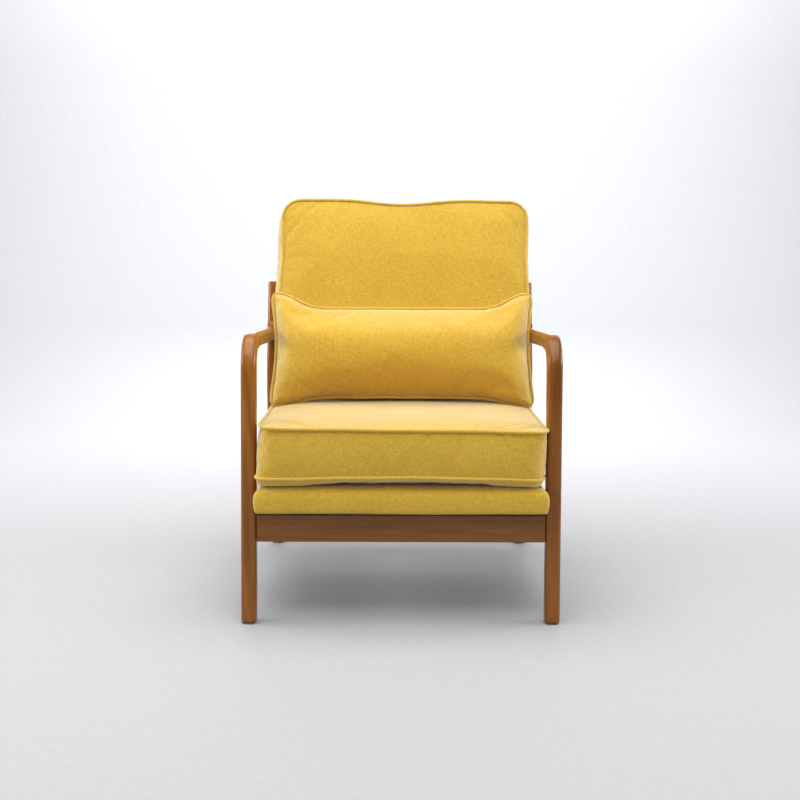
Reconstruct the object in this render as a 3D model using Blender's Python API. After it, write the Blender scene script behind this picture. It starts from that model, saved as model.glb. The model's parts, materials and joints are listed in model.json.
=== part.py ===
"""A wooden lounge armchair with an upholstered seat platform and three loose cushions.

Metres, +Z up. The chair faces -Y. The origin is on the floor, in the middle of the chair's box.
Each side frame lies in a plane of constant X and is drawn with two coordinates: the depth, counted
backwards from the front legs' centre, and the height above the floor.
"""

import math

import bmesh
import bpy
from mathutils import Matrix, Vector

# ---- The whole chair ----
WIDTH = 0.630  # across the outsides of the legs
FRONT_LEG_Y = -0.2992  # where depth 0 lies in the chair's own frame
GAP = 0.0003  # between two pieces that touch
SMOOTH_ANGLE = math.radians(40)  # flatter edges than this are shaded smooth
BEVEL_ANGLE = math.radians(30)  # only sharper edges than this are rounded
NEARLY_PARALLEL = 0.9  # the cosine between two directions

# ---- Bars of the side frames ----
BAR_WIDTH = 0.030
BAR_EDGE = 0.0095
CORNER_POINTS = 5
LEG_DEPTH = 0.036
GLIDE_HEIGHT = 0.0040
GLIDE_CHAMFER = 0.0010
FOOT_CHAMFER = 0.0015

# ---- Armrest and the bend that carries it ----
ARM_TOP = 0.572
ARM_SLOPE = math.radians(3.2)
ARM_THICKNESS = 0.030
BEND_OUTER = 0.068
BEND_INNER = 0.032
BEND_STEPS = 12
ARM_TAPER = 0.060  # length over which the bend's thickness eases into the armrest's
ARM_TAPER_STEPS = 3
ARM_FILLET = 0.022  # where the armrest's top sweeps up the post
ARM_FILLET_TURN = math.radians(66)
ARM_FILLET_STEPS = 5
ARM_COPE = 0.011  # how far the armrest's end wraps round the post
ARM_END_HEIGHT = 0.538  # where the armrest meets the front of the post

# ---- Rear post: a leg that slopes forward to the knee, and a back post that leans back ----
FOOT_DEPTH = 0.631
KNEE_DEPTH = 0.505
KNEE_HEIGHT = 0.400
POST_TOP_DEPTH = 0.5515
POST_TOP_HEIGHT = 0.651
KNEE_RADIUS = 0.350
KNEE_STEPS = 7
FOOT_THICKNESS = 0.031
KNEE_THICKNESS = 0.038
TOP_THICKNESS = 0.032
POST_TOP_ROUND = 0.004
POST_TOP_STEPS = 3

# ---- Seat rails ----
RAIL_TOP = 0.2225
RAIL_HEIGHT = 0.059
RAIL_THICKNESS = 0.022
RAIL_EDGE = 0.0025
RAIL_EDGE_STEPS = 2
FRONT_RAIL_SETBACK = 0.006  # behind the front of the legs
REAR_RAIL_DEPTH = 0.571
STRETCHER_WIDTH = 0.050
STRETCHER_HEIGHT = 0.022

# ---- Back of the frame ----
SLAT_THICKNESS = 0.015
SLAT_EDGE = 0.004
SLAT_HEIGHT = 0.045
TOP_RAIL_HEIGHT = 0.055
TENON_LENGTH = 0.016
TENON_SHOULDER = 0.0035
TOP_RAIL_CENTRE = 0.612
UPPER_SLAT_CENTRE = 0.490
LOWER_SLAT_CENTRE = 0.368
LOWER_SLAT_DEPTH = 0.504

# ---- Fasteners ----
BOLT_HEIGHT = 0.180
BOLT_RADIUS = 0.0030
BOLT_HEAD_RADIUS = 0.0062
BOLT_HEAD_HEIGHT = 0.0025
BOLT_HEAD_PROUD = 0.0010
BOLT_CROWN_RADIUS = 0.0045  # the flat middle of the domed head
BOLT_SHOULDER_RADIUS = 0.0057  # the dome's edge, a third of its height down
BOLT_LENGTH = 0.068
BOLT_CHAMFER = 0.0010
SOCKET_RADIUS = 0.0023
SOCKET_CHAMFER = 0.0004
SOCKET_DEPTH = 0.0016
ROUND_POINTS = 12
NUT_RADIUS = 0.0050
NUT_LENGTH = 0.0140
NUT_INSET = 0.0220  # from the rail's end to the nut's centre
DOWEL_RADIUS = 0.0040
DOWEL_LENGTH = 0.036
DOWEL_CHAMFER = 0.0010
SIDE_DOWEL_HEIGHT = 0.2055
PIN_RADIUS = 0.0013
PIN_LENGTH = 0.014
PIN_POINT_RADIUS = 0.0005
SCREW_RADIUS = 0.0022
SCREW_HEAD_RADIUS = 0.0045
SCREW_CROWN_RADIUS = 0.0032
SCREW_HEAD_HEIGHT = 0.0025
SCREW_HEAD_RIM = 0.0010  # how far below its crown the pan head is at its widest
SCREW_BITE = 0.0080  # how deep it goes into the board
SCREW_POINT_LENGTH = 0.0044
SCREW_POINT_RADIUS = 0.0006

# ---- Corner blocks ----
BLOCK_HEIGHT = 0.042
BLOCK_REACH = 0.058
BLOCK_SCREW_INSET = 0.024

# ---- Seat platform ----
PLATFORM_HALF_WIDTH = 0.2835
PLATFORM_FRONT = -0.0450
PLATFORM_BACK = 0.5750
PLATFORM_TOP = 0.2770
PLATFORM_EDGE = 0.008
PLATFORM_EDGE_STEPS = 3
COVER_THICKNESS = 0.0010
COVER_INSET = 0.004
BOARD_THICKNESS = 0.012
BOARD_INSET = 0.011

# ---- Cushions ----
CUSHION_GAP = 0.0008
CUSHION_HALF_WIDTH = 0.2835
CUSHION_EDGE = 0.018
CUSHION_EDGE_STEPS = 3
SEAT_CUSHION_FRONT = -0.0470
SEAT_CUSHION_BACK = 0.4800
SEAT_CUSHION_TOP = 0.4020
RECLINE = math.radians(13.0)
BACK_FACE_DEPTH = 0.3600  # the back cushion's front face, at BACK_FACE_HEIGHT
BACK_FACE_HEIGHT = 0.5600
BACK_CUSHION_TOP = 0.8490
BACK_CUSHION_THICKNESS = 0.1560
PILLOW_HALF_WIDTH = 0.2750
PILLOW_HALF_HEIGHT = 0.1120
PILLOW_HALF_THICKNESS = 0.0630
PILLOW_CENTRE_HEIGHT = 0.5170
PILLOW_COLUMNS = 24
PILLOW_ROWS = 10
PILLOW_PLAN_POWER = 0.35  # the same for the plan, which is nearly a rectangle
PILLOW_THICKNESS_POWER = 0.85  # below 1 it squares off the curve

HALF_BAR = BAR_WIDTH / 2
BAR_X = WIDTH / 2 - HALF_BAR
INNER_X = WIDTH / 2 - BAR_WIDTH
COVER_BOTTOM = RAIL_TOP + GAP
PLATFORM_BOTTOM = COVER_BOTTOM + COVER_THICKNESS + GAP
FOOT_BOTTOM = GLIDE_HEIGHT + GAP
SIDES = {"left": -1, "right": 1}
AXIS_X = Vector((1, 0, 0))
AXIS_Y = Vector((0, 1, 0))
AXIS_Z = Vector((0, 0, 1))

WOOD = ("stained_wood", (0.22, 0.085, 0.035), 0.42, 0.0)
RAIL_WOOD = ("dark_stained_wood", (0.12, 0.045, 0.018), 0.50, 0.0)
PLY = ("plywood", (0.55, 0.38, 0.20), 0.65, 0.0)
FABRIC = ("mustard_fabric", (0.62, 0.38, 0.07), 0.92, 0.0)
LINING = ("black_lining", (0.015, 0.015, 0.016), 0.95, 0.0)
STEEL = ("steel", (0.42, 0.40, 0.37), 0.35, 1.0)
GLIDE = ("grey_glide", (0.09, 0.10, 0.09), 0.60, 0.0)


def clear_scene():
    for obj in list(bpy.data.objects):
        bpy.data.objects.remove(obj, do_unlink=True)


def material(finish):
    """The Principled material of a finish, made once."""
    name, colour, roughness, metallic = finish
    found = bpy.data.materials.get(name)
    if found:
        return found
    made = bpy.data.materials.new(name)
    made.use_nodes = True
    shader = made.node_tree.nodes["Principled BSDF"]
    shader.inputs["Base Color"].default_value = (*colour, 1.0)
    shader.inputs["Roughness"].default_value = roughness
    shader.inputs["Metallic"].default_value = metallic
    made.diffuse_color = (*colour, 1.0)
    return made


def add_object(name, shape, finish):
    """Makes the bmesh an object with outward faces, and frees it."""
    bmesh.ops.recalc_face_normals(shape, faces=shape.faces)
    mesh = bpy.data.meshes.new(name)
    shape.to_mesh(mesh)
    shape.free()
    mesh.shade_smooth()
    mesh.set_sharp_from_angle(angle=SMOOTH_ANGLE)
    if finish:
        mesh.materials.append(material(finish))
    obj = bpy.data.objects.new(name, mesh)
    bpy.context.scene.collection.objects.link(obj)
    return obj


def at(x, depth, height):
    """A point of the chair from its depth behind the front legs' centre."""
    return Vector((x, FRONT_LEG_Y + depth, height))


def in_side(direction):
    """A (depth, height) direction of a side frame as one of the chair."""
    return Vector((0, direction.x, direction.y))


# ---- Shapes ----


def rounded_ring(centre, across, along, half_across, half_along, radius):
    """A rectangle with round corners, in the plane of two unit directions."""
    points = []
    for quarter in range(4):
        corner = (quarter + 0.5) * math.pi / 2
        u_corner = math.copysign(half_across - radius, math.cos(corner))
        v_corner = math.copysign(half_along - radius, math.sin(corner))
        for step in range(CORNER_POINTS):
            angle = (quarter + step / (CORNER_POINTS - 1)) * math.pi / 2
            u = u_corner + radius * math.cos(angle)
            v = v_corner + radius * math.sin(angle)
            points.append(centre + u * across + v * along)
    return points


def circle_ring(centre, across, along, radius, count=ROUND_POINTS):
    """A circle of points, in the plane of two unit directions."""
    turns = [2 * math.pi * (i + 0.5) / count for i in range(count)]
    return [centre + radius * (math.cos(t) * across + math.sin(t) * along) for t in turns]


def loft(name, rings, finish):
    """One closed body through rings of equally many points, with its two ends filled."""
    shape = bmesh.new()
    loops = [[shape.verts.new(point) for point in ring] for ring in rings]
    for near, far in zip(loops, loops[1:]):
        for i, vert in enumerate(near):
            j = (i + 1) % len(near)
            shape.faces.new((vert, near[j], far[j], far[i]))
    shape.faces.new(loops[0])
    shape.faces.new(loops[-1])
    return add_object(name, shape, finish)


def prism(name, outline, offset, finish):
    """A flat outline swept along an offset."""
    shape = bmesh.new()
    face = shape.faces.new([shape.verts.new(point) for point in outline])
    swept = bmesh.ops.extrude_face_region(shape, geom=[face])["geom"]
    moved = [item for item in swept if isinstance(item, bmesh.types.BMVert)]
    bmesh.ops.translate(shape, verts=moved, vec=offset)
    return add_object(name, shape, finish)


def block(name, low, high, finish):
    """A box between two corners."""
    shape = bmesh.new()
    bmesh.ops.create_cube(shape, size=1.0)
    size = high - low
    place = Matrix.Translation((low + high) / 2) @ Matrix.Diagonal((*size, 1.0))
    bmesh.ops.transform(shape, matrix=place, verts=shape.verts)
    return add_object(name, shape, finish)


def frame_of(direction):
    """Two unit directions square to the given one."""
    helper = AXIS_Y if abs(direction.dot(AXIS_X)) > NEARLY_PARALLEL else AXIS_X
    across = direction.cross(helper).normalized()
    return across, direction.cross(across).normalized()


def turned(name, start, direction, profile, finish, count=ROUND_POINTS):
    """A turned solid: profile lists (distance along the axis, radius)."""
    across, along = frame_of(direction)
    rings = [circle_ring(start + s * direction, across, along, r, count) for s, r in profile]
    return loft(name, rings, finish)


def round_edges(obj, width, segments):
    bevel = obj.modifiers.new("round_edges", "BEVEL")
    bevel.width = width
    bevel.segments = segments
    bevel.limit_method = "ANGLE"
    bevel.angle_limit = BEVEL_ANGLE
    return obj


def cut(target, cutter):
    """Takes the cutter out of the target and hides it."""
    cutter.hide_render = True
    cutter.display_type = "WIRE"
    boolean = target.modifiers.new(cutter.name, "BOOLEAN")
    boolean.operation = "DIFFERENCE"
    boolean.solver = "EXACT"
    boolean.object = cutter


def drill(target, label, start, direction, profile):
    """Cuts a turned hole, a gap wider than the fastener whose profile is given."""
    wider = [(s, r + GAP) for s, r in profile]
    cut(target, turned(f"cut_{target.name}_{label}", start, direction, wider, None))


# ---- Bars of the side frames ----


def bar_ring(x, front, back, inset=0.0, grow=0.0):
    """The rounded section of a bar between its front and back points, given as (depth, height)."""
    middle = (front + back) / 2
    half = (back - front).length / 2 - inset + grow
    across = in_side((back - front).normalized())
    centre = at(x, middle.x, middle.y)
    return rounded_ring(centre, AXIS_X, across, HALF_BAR - inset + grow, half, BAR_EDGE - inset + grow)


def bend_centre():
    return Vector((BEND_OUTER - LEG_DEPTH / 2, ARM_TOP - BEND_OUTER))


def bend_points(turn):
    """Outer and inner points of the bend: turn 0 is level with the leg, 1 meets the armrest."""
    angle = math.pi - turn * (math.pi / 2 + ARM_SLOPE)
    ray = Vector((math.cos(angle), math.sin(angle)))
    return bend_centre() + BEND_OUTER * ray, bend_centre() + BEND_INNER * ray


def arm_direction():
    return Vector((math.cos(ARM_SLOPE), -math.sin(ARM_SLOPE)))


def arm_down():
    return Vector((-math.sin(ARM_SLOPE), -math.cos(ARM_SLOPE)))


def front_leg(side, sign):
    """The front leg, its foot chamfered, with the bend on top of it."""
    x = sign * BAR_X
    half = LEG_DEPTH / 2

    def level(height, inset):
        return bar_ring(x, Vector((-half, height)), Vector((half, height)), inset)

    rings = [level(FOOT_BOTTOM, FOOT_CHAMFER), level(FOOT_BOTTOM + FOOT_CHAMFER, 0.0)]
    rings += [bar_ring(x, *bend_points(step / BEND_STEPS)) for step in range(BEND_STEPS + 1)]
    leg = loft(f"front_leg_{side}", rings, WOOD)
    drill(leg, "bolt", *bolt_place(sign, 0.0))
    drill(leg, "side_dowel", *dowel_place(side_dowel_middle(sign, front=True), AXIS_Y))
    drill(leg, "arm_dowel", *dowel_place(arm_front_middle(sign), in_side(arm_direction())))
    drill(leg, "glide_pin", *pin_place(x, 0.0))
    return leg


def arm_bottom_line(distance):
    """The underside of the armrest at a distance from the bend, easing to the arm's thickness."""
    outer, _ = bend_points(1.0)
    ease = min(distance / ARM_TAPER, 1.0)
    ease = ease * ease * (3 - 2 * ease)
    bend_thickness = BEND_OUTER - BEND_INNER
    thickness = bend_thickness + ease * (ARM_THICKNESS - bend_thickness)
    return outer + distance * arm_direction() + thickness * arm_down()


def arm_reach():
    """The length from the bend to the front of the post, along the armrest's top."""
    outer, _ = bend_points(1.0)
    point = post_front_at(ARM_END_HEIGHT)
    direction = post_direction(upper=True)
    normal = Vector((direction.y, -direction.x))
    return (point - outer).dot(normal) / arm_direction().dot(normal)


def arm_end_rings(x, reach):
    """Rings that sweep the armrest's top up into the post, then wrap round its edges."""
    outer, _ = bend_points(1.0)
    sweep = ARM_FILLET * math.sin(ARM_FILLET_TURN)
    start = reach - sweep
    rings = []
    for step in range(1, ARM_FILLET_STEPS + 1):
        angle = ARM_FILLET_TURN * step / ARM_FILLET_STEPS
        along = start + ARM_FILLET * math.sin(angle)
        rise = ARM_FILLET * (1 - math.cos(angle))
        top = outer + along * arm_direction() - rise * arm_down()
        rings.append(bar_ring(x, top, arm_bottom_line(along)))
    cope = ARM_COPE * arm_direction()
    rings.append(bar_ring(x, top + cope, arm_bottom_line(reach) + cope))
    return rings


def armrest(side, sign):
    """The armrest, from the bend to the rear post, coped round the post."""
    x = sign * BAR_X
    outer, _ = bend_points(1.0)
    reach = arm_reach()
    straight_end = reach - ARM_FILLET * math.sin(ARM_FILLET_TURN)
    eased = [ARM_TAPER * step / ARM_TAPER_STEPS for step in range(1, ARM_TAPER_STEPS + 1)]
    distances = [GAP, *eased, straight_end]
    rings = [
        bar_ring(x, outer + distance * arm_direction(), arm_bottom_line(distance))
        for distance in distances
    ]
    arm = loft(f"armrest_{side}", rings + arm_end_rings(x, reach), WOOD)
    cut(arm, loft(f"cut_armrest_{side}_post", post_rings(x, grow=GAP), None))
    drill(arm, "front_dowel", *dowel_place(arm_front_middle(sign), in_side(arm_direction())))
    drill(arm, "rear_dowel", *dowel_place(arm_rear_middle(sign), in_side(arm_direction())))
    return arm


# ---- Rear posts ----


def post_direction(upper):
    foot = Vector((FOOT_DEPTH, 0.0))
    knee = Vector((KNEE_DEPTH, KNEE_HEIGHT))
    top = Vector((POST_TOP_DEPTH, POST_TOP_HEIGHT))
    return (top - knee).normalized() if upper else (knee - foot).normalized()


def post_thickness(height):
    """The post is thickest at its knee and tapers to the foot and to the top."""
    if height < KNEE_HEIGHT:
        share = height / KNEE_HEIGHT
        return FOOT_THICKNESS + share * (KNEE_THICKNESS - FOOT_THICKNESS)
    share = (height - KNEE_HEIGHT) / (POST_TOP_HEIGHT - KNEE_HEIGHT)
    return KNEE_THICKNESS + share * (TOP_THICKNESS - KNEE_THICKNESS)


def knee_arc():
    """(point, direction) along the round knee."""
    lower = post_direction(upper=False)
    upper = post_direction(upper=True)
    turn = lower.angle(upper)
    knee = Vector((KNEE_DEPTH, KNEE_HEIGHT))
    start = knee - KNEE_RADIUS * math.tan(turn / 2) * lower
    inward = Vector((lower.y, -lower.x))
    centre = start + KNEE_RADIUS * inward
    stations = []
    for step in range(KNEE_STEPS + 1):
        spin = Matrix.Rotation(-turn * step / KNEE_STEPS, 2)
        stations.append((centre - KNEE_RADIUS * (spin @ inward), spin @ lower))
    return stations


def post_centre_at(height):
    """The centre line of the post at a height."""
    arc = knee_arc()
    if height <= arc[0][0].y:
        point, direction = arc[0]
    elif height >= arc[-1][0].y:
        point, direction = arc[-1]
    else:
        point, direction = min(arc, key=lambda station: abs(station[0].y - height))
    return point + (height - point.y) / direction.y * direction


def post_front_at(height):
    """A point on the post's front above the knee, level with the given height."""
    direction = post_direction(upper=True)
    forward = Vector((-direction.y, direction.x))
    return post_centre_at(height) + post_thickness(height) / 2 * forward


def post_section(x, point, direction, inset=0.0, grow=0.0):
    """A section square to the post's centre line."""
    half = post_thickness(point.y) / 2 * Vector((direction.y, -direction.x))
    return bar_ring(x, point - half, point + half, inset, grow)


def post_rings(x, grow=0.0):
    lower = post_direction(upper=False)
    upper = post_direction(upper=True)
    rings = []
    for height, inset in ((FOOT_BOTTOM, FOOT_CHAMFER), (FOOT_BOTTOM + FOOT_CHAMFER, 0.0)):
        middle = post_centre_at(height)
        half = Vector((post_thickness(height) / 2 / lower.y, 0.0))
        rings.append(bar_ring(x, middle - half, middle + half, inset, grow))
    rings += [post_section(x, point, direction, grow=grow) for point, direction in knee_arc()]
    top = Vector((POST_TOP_DEPTH, POST_TOP_HEIGHT))
    for step in range(POST_TOP_STEPS + 1):
        angle = math.pi / 2 * step / POST_TOP_STEPS
        sunk = POST_TOP_ROUND * (1 - math.sin(angle))
        inset = POST_TOP_ROUND * (1 - math.cos(angle))
        rings.append(post_section(x, top - sunk * upper, upper, inset, grow))
    return rings


def rear_post(side, sign):
    """The rear post, with its mortises and its holes."""
    x = sign * BAR_X
    post = loft(f"rear_post_{side}", post_rings(x), WOOD)
    drill(post, "bolt", *bolt_place(sign, post_centre_at(BOLT_HEIGHT).x))
    drill(post, "side_dowel", *dowel_place(side_dowel_middle(sign, front=False), AXIS_Y))
    drill(post, "arm_dowel", *dowel_place(arm_rear_middle(sign), in_side(arm_direction())))
    drill(post, "glide_pin", *pin_place(x, post_centre_at(GLIDE_HEIGHT).x))
    for label, centre, lean, height in back_members():
        cut(post, mortise(f"cut_{post.name}_{label}", sign, centre, lean, height))
    return post


def mortise(name, sign, centre, lean, height):
    """The pocket that takes a tenon of the back, open towards the chair's middle."""
    half_height = height / 2 - TENON_SHOULDER + GAP
    half_thickness = SLAT_THICKNESS / 2 - TENON_SHOULDER + GAP
    ends = (INNER_X - TENON_SHOULDER, INNER_X + TENON_LENGTH + GAP)
    radius = SLAT_EDGE - TENON_SHOULDER + GAP
    rings = [
        rounded_ring(at(sign * end, *centre), *lean_axes(lean), half_thickness, half_height, radius)
        for end in ends
    ]
    return loft(name, rings, None)


# ---- Back of the frame ----


def back_cushion_rear(height):
    """The depth of the back cushion's rear face at a height."""
    front = BACK_FACE_DEPTH + (height - BACK_FACE_HEIGHT) * math.tan(RECLINE)
    return front + BACK_CUSHION_THICKNESS / math.cos(RECLINE)


def back_members():
    """(name, centre, lean, height of the board) of the top rail and the two slats."""
    lift = (SLAT_THICKNESS / 2 + CUSHION_GAP) / math.cos(RECLINE)
    top = Vector((back_cushion_rear(TOP_RAIL_CENTRE) + lift, TOP_RAIL_CENTRE))
    upper = Vector((back_cushion_rear(UPPER_SLAT_CENTRE) + lift, UPPER_SLAT_CENTRE))
    lower = Vector((LOWER_SLAT_DEPTH, LOWER_SLAT_CENTRE))
    return [
        ("back_top_rail", top, RECLINE, TOP_RAIL_HEIGHT),
        ("back_slat_upper", upper, RECLINE, SLAT_HEIGHT),
        ("back_slat_lower", lower, 0.0, SLAT_HEIGHT),
    ]


def lean_axes(lean):
    """The thickness and the height directions of a board that leans back."""
    return (
        in_side(Vector((math.cos(lean), -math.sin(lean)))),
        in_side(Vector((math.sin(lean), math.cos(lean)))),
    )


def back_member(name, centre, lean, height):
    """A board between the posts with a tenon on each end."""
    shoulder = INNER_X - GAP
    tip = INNER_X + TENON_LENGTH
    stations = [(-tip, TENON_SHOULDER), (-shoulder, TENON_SHOULDER), (-shoulder, 0.0)]
    stations += [(-x, inset) for x, inset in reversed(stations)]
    rings = [
        rounded_ring(
            at(x, *centre),
            *lean_axes(lean),
            SLAT_THICKNESS / 2 - inset,
            height / 2 - inset,
            SLAT_EDGE - inset,
        )
        for x, inset in stations
    ]
    return loft(name, rings, WOOD)


# ---- Seat rails ----


def front_rail_middle():
    return FRONT_RAIL_SETBACK - LEG_DEPTH / 2 + RAIL_THICKNESS / 2


def cross_rail(name, depth):
    """A rail between the legs, with a bolt hole and a barrel nut's hole in each end."""
    half = Vector((INNER_X - GAP, RAIL_THICKNESS / 2, RAIL_HEIGHT / 2))
    middle = at(0, depth, RAIL_TOP - RAIL_HEIGHT / 2)
    rail = round_edges(block(name, middle - half, middle + half, RAIL_WOOD), RAIL_EDGE, RAIL_EDGE_STEPS)
    inwards = 1 if depth < REAR_RAIL_DEPTH / 2 else -1
    bolt_depth = 0.0 if inwards > 0 else post_centre_at(BOLT_HEIGHT).x
    for side, sign in SIDES.items():
        drill(rail, f"bolt_{side}", *bolt_place(sign, bolt_depth))
        nut = nut_middle(sign, bolt_depth)
        deep = -inwards * (NUT_LENGTH / 2 + GAP) * AXIS_Y
        open_hole = [(0.0, NUT_RADIUS), (RAIL_THICKNESS, NUT_RADIUS)]
        drill(rail, f"nut_{side}", nut + deep, inwards * AXIS_Y, open_hole)
    return rail


def side_rail(side, sign):
    """The rail from the front leg to the sloping front of the rear post."""
    outer_x = sign * (BAR_X + RAIL_THICKNESS / 2)
    front = LEG_DEPTH / 2 + GAP
    bottom = RAIL_TOP - RAIL_HEIGHT
    outline = [
        at(outer_x, front, RAIL_TOP),
        at(outer_x, front, bottom),
        at(outer_x, post_front_below(bottom) - GAP, bottom),
        at(outer_x, post_front_below(RAIL_TOP) - GAP, RAIL_TOP),
    ]
    rail = prism(f"side_rail_{side}", outline, -sign * RAIL_THICKNESS * AXIS_X, WOOD)
    round_edges(rail, RAIL_EDGE, RAIL_EDGE_STEPS)
    drill(rail, "front_dowel", *dowel_place(side_dowel_middle(sign, front=True), AXIS_Y))
    drill(rail, "rear_dowel", *dowel_place(side_dowel_middle(sign, front=False), AXIS_Y))
    return rail


def post_front_below(height):
    """The depth of the post's front face below the knee."""
    return post_centre_at(height).x - post_thickness(height) / 2 / post_direction(upper=False).y


def centre_stretcher():
    """A flat stretcher under the platform, between the front and rear rails."""
    front = front_rail_middle() + RAIL_THICKNESS / 2 + GAP
    back = REAR_RAIL_DEPTH - RAIL_THICKNESS / 2 - GAP
    low = at(-STRETCHER_WIDTH / 2, front, RAIL_TOP - STRETCHER_HEIGHT)
    high = at(STRETCHER_WIDTH / 2, back, RAIL_TOP)
    return round_edges(block("centre_stretcher", low, high, RAIL_WOOD), RAIL_EDGE, RAIL_EDGE_STEPS)


def corner_block(end, side, sign):
    """A block glued into the corner of two rails, notched round the leg, with a screw hole."""
    inner_x = BAR_X - RAIL_THICKNESS / 2 - GAP
    leg_x = INNER_X - GAP
    if end == "front":
        rail = front_rail_middle() + RAIL_THICKNESS / 2 + GAP
        leg = LEG_DEPTH / 2 + GAP
        way = 1
    else:
        rail = REAR_RAIL_DEPTH - RAIL_THICKNESS / 2 - GAP
        leg = post_front_below(RAIL_TOP) - GAP
        way = -1
    outline = [
        (inner_x - BLOCK_REACH, rail),
        (leg_x, rail),
        (leg_x, leg),
        (inner_x, leg),
        (inner_x, rail + way * BLOCK_REACH),
    ]
    low = [at(sign * x, depth, RAIL_TOP - BLOCK_HEIGHT) for x, depth in outline]
    made = prism(f"corner_block_{end}_{side}", low, BLOCK_HEIGHT * AXIS_Z, PLY)
    drill(made, "screw", *screw_place(end, sign))
    return made


# ---- Fasteners: each place is (start, direction, profile), for the piece and for its hole ----


def bolt_place(sign, depth):
    start = at(sign * (WIDTH / 2 + BOLT_HEAD_PROUD), depth, BOLT_HEIGHT)
    profile = [
        (-GAP, BOLT_HEAD_RADIUS),
        (BOLT_HEAD_HEIGHT, BOLT_HEAD_RADIUS),
        (BOLT_HEAD_HEIGHT, BOLT_RADIUS),
        (BOLT_LENGTH + GAP, BOLT_RADIUS),
    ]
    return start, -sign * AXIS_X, profile


def bolt(name, sign, depth):
    """A connector bolt: domed head with a round socket, and a chamfered shank."""
    start, direction, _ = bolt_place(sign, depth)
    profile = [
        (SOCKET_DEPTH, SOCKET_RADIUS),
        (0.0, SOCKET_RADIUS + SOCKET_CHAMFER),
        (0.0, BOLT_CROWN_RADIUS),
        (BOLT_HEAD_PROUD / 3, BOLT_SHOULDER_RADIUS),
        (BOLT_HEAD_PROUD, BOLT_HEAD_RADIUS),
        (BOLT_HEAD_HEIGHT - GAP, BOLT_HEAD_RADIUS),
        (BOLT_HEAD_HEIGHT - GAP, BOLT_RADIUS),
        (BOLT_LENGTH - BOLT_CHAMFER, BOLT_RADIUS),
        (BOLT_LENGTH, BOLT_RADIUS - BOLT_CHAMFER),
    ]
    return turned(name, start, direction, profile, STEEL)


def nut_middle(sign, depth):
    return at(sign * (INNER_X - NUT_INSET), depth, BOLT_HEIGHT)


def barrel_nut(name, sign, depth):
    """A cross nut: a short bar with the bolt's hole through its side."""
    start = nut_middle(sign, depth) - NUT_LENGTH / 2 * AXIS_Y
    nut = turned(name, start, AXIS_Y, [(0.0, NUT_RADIUS), (NUT_LENGTH, NUT_RADIUS)], STEEL)
    drill(nut, "thread", *bolt_place(sign, depth))
    return nut


def dowel_place(middle, direction):
    profile = [(-GAP, DOWEL_RADIUS), (DOWEL_LENGTH + GAP, DOWEL_RADIUS)]
    return middle - DOWEL_LENGTH / 2 * direction, direction, profile


def dowel(name, middle, direction):
    """A dowel with chamfered ends."""
    profile = [
        (0.0, DOWEL_RADIUS - DOWEL_CHAMFER),
        (DOWEL_CHAMFER, DOWEL_RADIUS),
        (DOWEL_LENGTH - DOWEL_CHAMFER, DOWEL_RADIUS),
        (DOWEL_LENGTH, DOWEL_RADIUS - DOWEL_CHAMFER),
    ]
    return turned(name, middle - DOWEL_LENGTH / 2 * direction, direction, profile, PLY)


def side_dowel_middle(sign, front):
    depth = LEG_DEPTH / 2 if front else post_front_below(SIDE_DOWEL_HEIGHT)
    return at(sign * BAR_X, depth, SIDE_DOWEL_HEIGHT)


def arm_front_middle(sign):
    outer, inner = bend_points(1.0)
    middle = (outer + inner) / 2
    return at(sign * BAR_X, middle.x, middle.y)


def arm_rear_middle(sign):
    outer, _ = bend_points(1.0)
    middle = outer + arm_reach() * arm_direction() + ARM_THICKNESS / 2 * arm_down()
    return at(sign * BAR_X, middle.x, middle.y)


def pin_place(x, depth):
    profile = [(-GAP, PIN_RADIUS), (PIN_LENGTH + GAP, PIN_RADIUS)]
    return at(x, depth, GLIDE_HEIGHT), AXIS_Z, profile


def glide(name, x, depth, thickness):
    """A hard plastic glide under a foot, with the pin that holds it."""

    def plate(height, narrower):
        inset = FOOT_CHAMFER + narrower
        centre = at(x, depth, height)
        half_x = HALF_BAR - inset
        half_y = thickness / 2 - inset
        return rounded_ring(centre, AXIS_X, AXIS_Y, half_x, half_y, BAR_EDGE - inset)

    def pin(height, radius):
        return circle_ring(at(x, depth, height), AXIS_X, AXIS_Y, radius, 4 * CORNER_POINTS)

    rings = [
        plate(0.0, GLIDE_CHAMFER),
        plate(GLIDE_CHAMFER, 0.0),
        plate(GLIDE_HEIGHT, 0.0),
        pin(GLIDE_HEIGHT, PIN_RADIUS),
        pin(GLIDE_HEIGHT + PIN_LENGTH - PIN_RADIUS, PIN_RADIUS),
        pin(GLIDE_HEIGHT + PIN_LENGTH, PIN_POINT_RADIUS),
    ]
    return loft(name, rings, GLIDE)


def screw_place(end, sign):
    inner_x = BAR_X - RAIL_THICKNESS / 2
    if end == "front":
        depth = front_rail_middle() + RAIL_THICKNESS / 2 + BLOCK_SCREW_INSET
    else:
        depth = REAR_RAIL_DEPTH - RAIL_THICKNESS / 2 - BLOCK_SCREW_INSET
    bottom = RAIL_TOP - BLOCK_HEIGHT - SCREW_HEAD_HEIGHT
    start = at(sign * (inner_x - BLOCK_SCREW_INSET), depth, bottom)
    tip = PLATFORM_BOTTOM + SCREW_BITE
    profile = [
        (SCREW_HEAD_HEIGHT, SCREW_RADIUS),
        (tip - start.z + GAP, SCREW_RADIUS),
    ]
    return start, AXIS_Z, profile


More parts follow.
